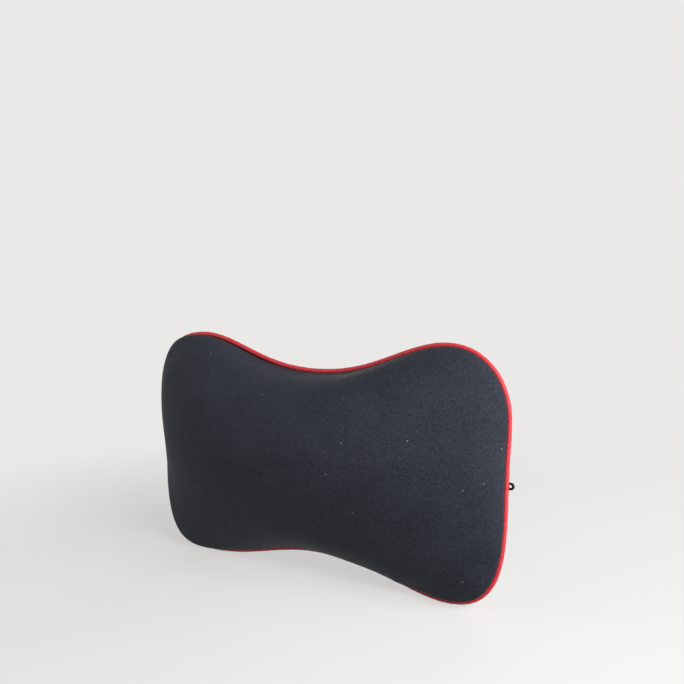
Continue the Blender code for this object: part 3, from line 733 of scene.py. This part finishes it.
def cut_lines():
    """The distances from the zip's line at which the panels need edges, for the hem's profile."""
    stitch = ZIP_OPENING_HALF + HEM_STITCH_INSET
    far = ZIP_OPENING_HALF + HEM_WIDTH
    fold = [ZIP_OPENING_HALF + way for way in (0.0, 0.0002, 0.0005, FOLD_WIDTH)]
    groove = [stitch + way for way in (-0.0008, -0.0004, 0.0, 0.0004, 0.0008)]
    return [0.0004, 0.0009, 0.0018, 0.0032, *fold, *groove, far - HEM_SLOPE, far - HEM_SLOPE / 2, far]


def half_back(whole, name, side):
    """One panel of the back: the whole back cut along the zip's line, with an edge at each line of the hem,
    the opening taken out and the hem raised."""
    piece = new_object(name, whole.data.copy())
    shape = bmesh.new()
    shape.from_mesh(piece.data)
    edge_z = ZIP_Z + side * GAP / 2

    def cut(place, normal, clear=False):
        parts = list(shape.verts) + list(shape.edges) + list(shape.faces)
        bmesh.ops.bisect_plane(
            shape, geom=parts, plane_co=place, plane_no=normal, dist=1e-7, clear_inner=clear
        )

    cut((0, 0, edge_z), (0, 0, side), True)
    for away in cut_lines():
        cut((0, 0, ZIP_Z + side * away), (0, 0, 1))
    end = ZIP_HALF_LENGTH + ZIP_END_MARGIN
    for x in (-end, end):
        cut((x, 0, 0), (1, 0, 0))
    bmesh.ops.remove_doubles(shape, verts=shape.verts, dist=0.00002)
    middles = [(face, face.calc_center_median()) for face in shape.faces]
    gone = [face for face, c in middles if abs(c.x) < end and abs(c.z - ZIP_Z) < ZIP_OPENING_HALF]
    bmesh.ops.delete(shape, geom=gone, context="FACES")
    shape.to_mesh(piece.data)
    shape.free()
    points = points_of(piece.data)
    normals = np.zeros(len(points) * 3, np.float32)
    piece.data.vertices.foreach_get("normal", normals)
    raised = points + normals.reshape(-1, 3) * hem_height(points[:, 0], points[:, 2])[:, None]
    piece.data.vertices.foreach_set("co", raised.astype(np.float32).ravel())
    piece.data.update()
    return piece


def back_panels(knit):
    """The two knit panels of the back, which meet at the zip."""
    whole = cover_panel("knit_back", back_surface, 1, BACK_PRESSURE, BACK_CAP, BACK_PUCKER)
    pieces = []
    for name, node, side in (
        ("knit_back_upper", "back_cover_upper", 1),
        ("knit_back_lower", "back_cover_lower", -1),
    ):
        piece = half_back(whole, name, side)
        thickened(piece, COVER_THICK)
        dress(piece, knit)
        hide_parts(node)
        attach(piece, "pillow")
        pieces.append(piece)
    bpy.data.objects.remove(whole)
    return pieces


def foam_block(foam):
    """The moulded core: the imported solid, remeshed evenly and smoothed."""
    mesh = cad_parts["foam_core"].data.copy()
    piece = new_object("foam_block", mesh)
    remesh = piece.modifiers.new("even", "REMESH")
    remesh.mode = "VOXEL"
    remesh.voxel_size = 0.003
    smooth = piece.modifiers.new("smooth", "SMOOTH")
    smooth.iterations = 6
    settled(piece)
    piece.data.vertices.foreach_set("co", at_rest(points_of(piece.data)).astype(np.float32).ravel())
    piece.data.shade_smooth()
    dress(piece, foam)
    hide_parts("foam_core")
    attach(piece, "pillow")


# Piping, strap and stitches


def grid_object(name, points, wrap_rows=False, wrap_columns=False, along=None, around=None, cap=False):
    """A mesh object from a grid of points, rows by columns, which may close on itself either way. Its UV map
    holds the distance along the columns and around the rows."""
    rows, columns = points.shape[:2]
    tall = np.arange(rows if wrap_rows else rows - 1)
    wide = np.arange(columns if wrap_columns else columns - 1)
    r, c = (way.ravel() for way in np.meshgrid(tall, wide, indexing="ij"))
    corners = [(r, c), (r, c + 1), (r + 1, c + 1), (r + 1, c)]
    faces = np.stack([(a % rows) * columns + b % columns for a, b in corners], axis=1)
    faces = [tuple(face) for face in faces.tolist()]
    if cap:
        faces.append(tuple(i * columns for i in reversed(range(rows))))
        faces.append(tuple(i * columns + columns - 1 for i in range(rows)))
    piece = mesh_object(name, points, faces)
    if along is not None:
        uv = np.stack([np.stack([along[b], around[a]], axis=1) for a, b in corners], axis=1).reshape(-1, 2)
        if cap:
            uv = np.concatenate([uv, np.zeros((2 * rows, 2))])
        layer = piece.data.uv_layers.new(name="cloth")
        layer.data.foreach_set("uv", uv.astype(np.float32).ravel())
    return piece


def red_piping(cloth):
    """The piping: a round section with a flat flange, carried once round the seam. Its radius varies a
    little, where the bias cloth gathers round the cord."""
    steps, sides = 960, 22
    angle = np.arange(steps) * math.tau / steps
    run = seam_length((angle + math.pi) % math.tau - math.pi)
    half = FLANGE_THICK / 2
    opening = math.asin(half / PIPING_R)
    turn = np.linspace(math.pi - opening, -math.pi + opening, sides)
    out = np.concatenate([PIPING_R * np.cos(turn), [-FLANGE_REACH - PIPING_OUT] * 2])
    lift = np.concatenate([PIPING_R * np.sin(turn), [-half, half]])
    round_part = np.concatenate([np.ones(sides), [0, 0]])
    (short_size, short_wave), (long_size, long_wave) = GATHERS
    gather = short_size * np.sin(math.tau * run / short_wave + 2.0 * np.sin(math.tau * run / 0.037))
    gather += long_size * np.sin(math.tau * run / long_wave)
    scale = 1 + round_part[:, None] * gather[None, :]
    x, z = plan(1.0, np.broadcast_to(angle, (len(out), steps)), PIPING_OUT + out[:, None] * scale)
    y = -SEAM_SETBACK + lift[:, None] * scale
    ring = np.hypot(np.diff(out, append=out[:1]), np.diff(lift, append=lift[:1]))
    around = np.concatenate([[0], np.cumsum(ring)])
    along = np.arange(steps + 1) * seam_length(math.pi) / steps
    piece = grid_object("red_piping", at_rest(np.stack([x, y, z], axis=-1)), True, True, along, around)
    dress(piece, cloth)
    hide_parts("piping")
    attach(piece, "pillow")


def tree_of(piece):
    """A search tree of the piece's faces, modifiers included."""
    graph = bpy.context.evaluated_depsgraph_get()
    return BVHTree.FromObject(piece, graph)


def outermost(tree, x, z):
    """Where a line along Y first meets the tree from behind, or nothing."""
    return tree.ray_cast(Vector((x, 1.0, z)), Vector((0, -1, 0)))[0]


def elastic_strap(back, elastic):
    """The strap: a ribbed band that lies on the back's shoulder at both ends, where it is folded under and
    sewn, and bows off the back between them as a raised cosine."""
    steps, ribs = 220, round(STRAP_WIDTH / STRAP_RIB_PITCH)
    tree = tree_of(back)
    end_x = HALF_WIDTH - STRAP_END_INSET
    lift_x = HALF_WIDTH - STRAP_LIFT_INSET
    xs = end_x * np.sin(np.linspace(-math.pi / 2, math.pi / 2, steps + 1))
    ground = []
    for x in xs:
        hits = [outermost(tree, x, z) for z in np.linspace(STRAP_LOW_Z, STRAP_LOW_Z + STRAP_WIDTH, 5)]
        ground.append(max(hit.y if hit else -SEAM_SETBACK for hit in hits))
    ground = np.array(ground)
    bow = np.where(np.abs(xs) < lift_x, STRAP_BOW * (1 + np.cos(math.pi * xs / lift_x)) / 2, 0)
    middle = np.stack([xs, ground + bow], axis=1)
    along = np.gradient(middle, axis=0)
    along /= np.linalg.norm(along, axis=1, keepdims=True)
    out = np.stack([-along[:, 1], along[:, 0]], axis=1)
    across = (1 - np.cos(np.linspace(0, math.pi, 4 * ribs + 1))) / 2
    edge = np.sqrt(1 - np.abs(2 * across - 1) ** 12)
    rib = STRAP_RIB_DEPTH * np.abs(np.sin(math.pi * across * STRAP_WIDTH / STRAP_RIB_PITCH))
    half = (STRAP_THICK / 2 - STRAP_RIB_DEPTH + rib) * edge
    section_z = np.concatenate([across, across[-2:0:-1]]) * STRAP_WIDTH
    section_y = np.concatenate([half, -half[-2:0:-1]])
    fold_x = end_x - STRAP_FOLD_LENGTH
    fold = 1 + (STRAP_FOLD_THICK / STRAP_THICK - 1) * step(np.abs(xs), fold_x - 0.001, fold_x + 0.001)
    centre = middle + out * (GAP * 1.5 + STRAP_THICK / 2 * fold)[:, None]
    x = centre[:, 0] + section_y[:, None] * out[:, 0] * fold
    y = centre[:, 1] + section_y[:, None] * out[:, 1] * fold
    z = np.broadcast_to(STRAP_LOW_Z + section_z[:, None], x.shape)
    run = np.concatenate([[0], np.cumsum(np.linalg.norm(np.diff(middle, axis=0), axis=1))])
    around = np.concatenate([section_z, section_z[:1]])
    piece = grid_object("elastic_strap", np.stack([x, y, z], axis=-1), True, False, run, around, cap=True)
    dress(piece, elastic)
    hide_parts("strap")
    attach(piece, "pillow")
    return piece


def bead(rings, sides, squareness):
    """A unit bead along X: a ball whose sines and cosines are raised to a power below 1 to square it up.
    Returns its points and its faces, with both ends closed."""
    tilt = np.linspace(-math.pi / 2, math.pi / 2, rings + 1)[1:-1]
    turn = np.arange(sides) * math.tau / sides

    def powered(value):
        return np.sign(value) * np.abs(value) ** squareness

    x = np.repeat(powered(np.sin(tilt)), sides)
    y = (powered(np.cos(tilt))[:, None] * powered(np.cos(turn))).ravel()
    z = (powered(np.cos(tilt))[:, None] * powered(np.sin(turn))).ravel()
    points = np.concatenate([np.stack([x, y, z], axis=1), [[-1, 0, 0], [1, 0, 0]]])
    faces = []
    for ring in range(rings - 2):
        for side in range(sides):
            a, b = ring * sides + side, ring * sides + (side + 1) % sides
            faces.append((a, b, b + sides, a + sides))
    low, high = len(points) - 2, len(points) - 1
    last = (rings - 2) * sides
    for side in range(sides):
        faces.append((low, (side + 1) % sides, side))
        faces.append((last + side, last + (side + 1) % sides, high))
    return points, faces


def many(name, shape, sizes, places, along):
    """Copies of one small shape as a single piece. Each is scaled by the sizes and stands at its place with
    its X along the given direction and its Y towards +Y."""
    points, faces = shape
    along = along / np.linalg.norm(along, axis=1, keepdims=True)
    side = np.cross(along, (0.0, 1.0, 0.0))
    side /= np.linalg.norm(side, axis=1, keepdims=True)
    up = np.cross(side, along)
    scaled = points * np.asarray(sizes)
    copies = places[:, None, :] + scaled[None, :, :1] * along[:, None, :]
    copies = copies + scaled[None, :, 1:2] * up[:, None, :] + scaled[None, :, 2:] * side[:, None, :]
    count = len(points)
    all_faces = [tuple(i + n * count for i in face) for n in range(len(places)) for face in faces]
    return mesh_object(name, copies, all_faces)


def stitches(name, tree, lines, thread):
    """Thread stitches along straight lines of X and Z, each one a bead that lies on the cloth behind it."""
    places, along = [], []
    for start, end in lines:
        start, end = Vector(start), Vector(end)
        run = (end - start).length
        count = max(round(run / STITCH_PITCH), 1)
        way = (end - start) / run
        for number in range(count):
            middle = start + way * run * (number + 0.5) / count
            tips = [middle - way * STITCH_LENGTH / 2, middle + way * STITCH_LENGTH / 2]
            hits = [outermost(tree, tip.x, tip.y) for tip in tips]
            if None not in hits:
                places.append((hits[0] + hits[1]) / 2)
                along.append(hits[1] - hits[0])
    places = np.array(places) + (0, THREAD_R * 0.5, 0)
    sizes = (STITCH_LENGTH / 2, THREAD_R, THREAD_R)
    piece = many(name, bead(7, 7, 0.7), sizes, places, np.array(along))
    dress(piece, thread)
    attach(piece, "pillow")
    return piece


def box_lines(low_x, high_x, low_z, high_z):
    """The four sides of a box of stitches, and its two diagonals."""
    a, b, c, d = (low_x, low_z), (high_x, low_z), (high_x, high_z), (low_x, high_z)
    return [(a, b), (b, c), (c, d), (d, a), (a, c), (b, d)]


def strap_stitches(strap, thread):
    """The crossed box of stitches that holds each end of the strap."""
    tree = tree_of(strap)
    end_x = HALF_WIDTH - STRAP_END_INSET
    inset = STRAP_STITCH_INSET
    lines = []
    for side in (-1, 1):
        near, far = sorted((side * (end_x - STRAP_FOLD_LENGTH), side * (end_x - inset)))
        lines += box_lines(near, far, STRAP_LOW_Z + inset, STRAP_LOW_Z + STRAP_WIDTH - inset)
    piece = stitches("strap_stitches", tree, lines, thread)


def zip_stitches(upper, lower, thread):
    """The stitches that hold the zip's tapes under the hems, once round the opening."""
    end = ZIP_HALF_LENGTH + ZIP_END_MARGIN + ZIP_STITCH_PAST_END
    away = ZIP_OPENING_HALF + HEM_STITCH_INSET
    for name, panel, side in (("zip_stitches_upper", upper, 1), ("zip_stitches_lower", lower, -1)):
        line_z = ZIP_Z + side * away
        near_z = ZIP_Z + side * ZIP_STITCH_NEAR_Z
        lines = [((-end, line_z), (end, line_z))]
        lines += [((x, near_z), (x, line_z)) for x in (-end, end)]
        piece = stitches(name, tree_of(panel), lines, thread)


# The zip


def zip_tapes(cloth):
    """The two woven tapes under the hems, faintly wavy where they aren't sewn down."""
    end = ZIP_HALF_LENGTH + TAPE_PAST_END
    x, share = np.meshgrid(np.linspace(-end, end, 233), np.linspace(0, 1, 13))
    for side, name, node in ((1, "tape_upper", "zip_tape_upper"), (-1, "tape_lower", "zip_tape_lower")):
        z = ZIP_Z + side * (SLIT_HALF + share * (TAPE_WIDTH - SLIT_HALF))
        wave = np.sin(math.tau * x / 0.047 + side) * np.sin(math.pi * share)
        y = TAPE_TOP_Y - 0.00006 * (1 + wave)
        points = np.stack([x, y, z], axis=-1)
        piece = grid_object(name, points, along=x[0] + end, around=share[:, 0] * TAPE_WIDTH)
        turn_outwards(piece)
        thickened(piece, TAPE_THICK - 0.00014)
        dress(piece, cloth)
        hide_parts(node)
        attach(piece, "pillow")


def turn_outwards(piece):
    """Turns a sheet's faces over if they look inwards, away from +Y."""
    normals = np.zeros(len(piece.data.polygons) * 3, np.float32)
    piece.data.polygons.foreach_get("normal", normals)
    if normals.reshape(-1, 3)[:, 1].mean() < 0:
        piece.data.flip_normals()


def zip_teeth(acetal):
    """The two rows of moulded teeth, each a squared bead that grips the tape's edge cord, with a broad head,
    and the cord itself."""
    span = 2 * ZIP_HALF_LENGTH - TOOTH_PITCH
    count = int(span / TOOTH_PITCH + 1e-9)
    middle_y = TOOTH_UNDER_Y + TOOTH_HEIGHT / 2
    for side, name, node in ((1, "teeth_upper", "zip_teeth_upper"), (-1, "teeth_lower", "zip_teeth_lower")):
        start = -count * TOOTH_PITCH / 2 + (side + 1) / 2 * TOOTH_PITCH / 2 + TOOTH_SHIFT
        xs = start + np.arange(count) * TOOTH_PITCH
        length = TOOTH_FAR_Z - TOOTH_TIP_Z
        middle_z = ZIP_Z + side * (TOOTH_TIP_Z + length / 2)
        places = np.stack(np.broadcast_arrays(xs, middle_y, middle_z), axis=1)
        points, faces = bead(8, 12, 0.45)
        neck = 1 - 0.34 * np.exp(-(((points[:, 0] + 0.30) / 0.28) ** 2))
        points[:, 2] *= neck
        along = np.tile([0.0, 0.0, float(side)], (count, 1))
        sizes = (length / 2, TOOTH_HEIGHT / 2, TOOTH_HALF_WIDTH)
        piece = many(name, (points, faces), sizes, places, along)
        cord_points, cord_faces = bead(8, 10, 0.3)
        cord_size = (ZIP_HALF_LENGTH, TOOTH_CORD_R, TOOTH_CORD_R)
        cord_place = (0, middle_y, ZIP_Z + side * (TOOTH_FAR_Z - TOOTH_CORD_INSET))
        cord = mesh_object(f"{name}_cord", cord_points * cord_size + cord_place, cord_faces)
        join(piece, cord)
        dress(piece, acetal)
        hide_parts(node)
        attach(piece, "pillow")


def join(piece, other):
    """Adds another mesh object's shape to a piece, and removes the other."""
    shape = bmesh.new()
    shape.from_mesh(piece.data)
    shape.from_mesh(other.data)
    shape.to_mesh(piece.data)
    shape.free()
    piece.data.shade_smooth()
    bpy.data.objects.remove(other)


def cast_piece(node, name, body, metal, width):
    """A die-cast piece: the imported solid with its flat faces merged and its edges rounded."""
    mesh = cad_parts[node].data.copy()
    shape = bmesh.new()
    shape.from_mesh(mesh)
    bmesh.ops.remove_doubles(shape, verts=shape.verts, dist=1e-6)
    bmesh.ops.dissolve_limit(
        shape, angle_limit=math.radians(1), verts=shape.verts, edges=shape.edges, delimit={"NORMAL"}
    )
    shape.to_mesh(mesh)
    shape.free()
    mesh.shade_smooth()
    piece = new_object(name, mesh)
    bevel = piece.modifiers.new("rounded", "BEVEL")
    bevel.width = width
    bevel.segments = 2
    bevel.limit_method = "ANGLE"
    bevel.angle_limit = math.radians(40)
    bevel.harden_normals = True
    dress(piece, metal)
    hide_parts(node)
    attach(piece, body)


# The studio


def sweep(low_z):
    """The floor and backdrop as one sheet: flat, then up a quarter circle to an upright wall."""
    flat = np.linspace(SWEEP_FRONT, SWEEP_BACK, 60)
    turn = np.linspace(0, math.pi / 2, 32)[1:]
    wall = np.linspace(SWEEP_RADIUS, SWEEP_HEIGHT, 20)[1:]
    wall_y = SWEEP_BACK + SWEEP_RADIUS
    y = np.concatenate([flat, SWEEP_BACK + SWEEP_RADIUS * np.sin(turn), np.full(len(wall), wall_y)])
    z = np.concatenate([np.zeros(len(flat)), SWEEP_RADIUS * (1 - np.cos(turn)), wall])
    x = np.linspace(-SWEEP_HALF_WIDTH, SWEEP_HALF_WIDTH, 60)
    shape = (len(y), len(x))
    points = np.stack([np.broadcast_to(way, shape) for way in (x, y[:, None], z[:, None] + low_z)], axis=-1)
    piece = grid_object("paper_sweep", points)
    piece.rotation_euler = (0, 0, math.radians(CAMERA_TURN[2]))
    dress(piece, sweep_material())
    piece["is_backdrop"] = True


def lamp(name, round_degrees, up_degrees, power, colour):
    """A square soft lamp that looks at the pillow. Its angle round is counted from the front to the right,
    and its angle up from the level."""
    light = bpy.data.lights.new(name, "AREA")
    light.shape = "SQUARE"
    light.size = LAMP_SIZE
    light.energy = power
    light.color = linear(colour)[:3]
    thing = new_object(name, light)
    turn, rise = math.radians(round_degrees), math.radians(up_degrees)
    flat = LAMP_DISTANCE * math.cos(rise)
    place = Vector((flat * math.sin(turn), -flat * math.cos(turn), LAMP_DISTANCE * math.sin(rise)))
    thing.location = place
    thing.rotation_euler = (-place).to_track_quat("-Z", "Y").to_euler()


def studio():
    """Soft lamps, an even pale world and the camera."""
    scene = bpy.context.scene
    scene.view_settings.view_transform = "Standard"
    world = bpy.data.worlds.new("pale_room")
    world.use_nodes = True
    tree = world.node_tree
    background = tree.nodes["Background"]
    background.inputs["Color"].default_value = linear(BACKDROP)
    ends = {"To Min": WORLD_STRENGTH, "To Max": 1.0}
    strength = add(tree, RANGE, ends, {0: seen_rays(tree)})
    tree.links.new(strength, background.inputs["Strength"])
    scene.world = world
    for name, round_degrees, up_degrees, power, colour in LAMPS:
        lamp(name, round_degrees, up_degrees, power, colour)
    camera = bpy.data.cameras.new("camera")
    camera.lens = CAMERA_LENS
    camera.clip_start = 0.01
    thing = new_object("camera", camera)
    thing.location = CAMERA_PLACE
    thing.rotation_euler = tuple(math.radians(angle) for angle in CAMERA_TURN)
    scene.camera = thing


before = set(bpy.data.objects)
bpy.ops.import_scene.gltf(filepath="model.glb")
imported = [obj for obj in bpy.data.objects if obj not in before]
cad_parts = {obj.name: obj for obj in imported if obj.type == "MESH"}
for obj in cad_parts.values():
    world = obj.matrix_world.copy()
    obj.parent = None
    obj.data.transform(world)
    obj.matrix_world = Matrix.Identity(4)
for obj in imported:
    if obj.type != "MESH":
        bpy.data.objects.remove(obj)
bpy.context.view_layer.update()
knit = knit_material()
thread = thread_material()
metal = zinc_material()
front_panel(knit)
upper, lower = back_panels(knit)
foam_block(foam_material())
red_piping(piping_material())
strap = elastic_strap(upper, elastic_material())
strap_stitches(strap, thread)
zip_stitches(upper, lower, thread)
zip_tapes(tape_material())
zip_teeth(teeth_material())
for stop in ("zip_stop_end", "zip_stop_upper", "zip_stop_lower"):
    cast_piece(stop, stop.replace("zip_", "cast_"), "pillow", metal, STOP_ROUNDING)
cast_piece("zip_slider", "cast_slider", "slider", metal, SLIDER_ROUNDING)
cast_piece("zip_pull", "cast_pull", "pull", metal, PULL_ROUNDING)
studio()
sweep(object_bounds()[0].z - GAP)
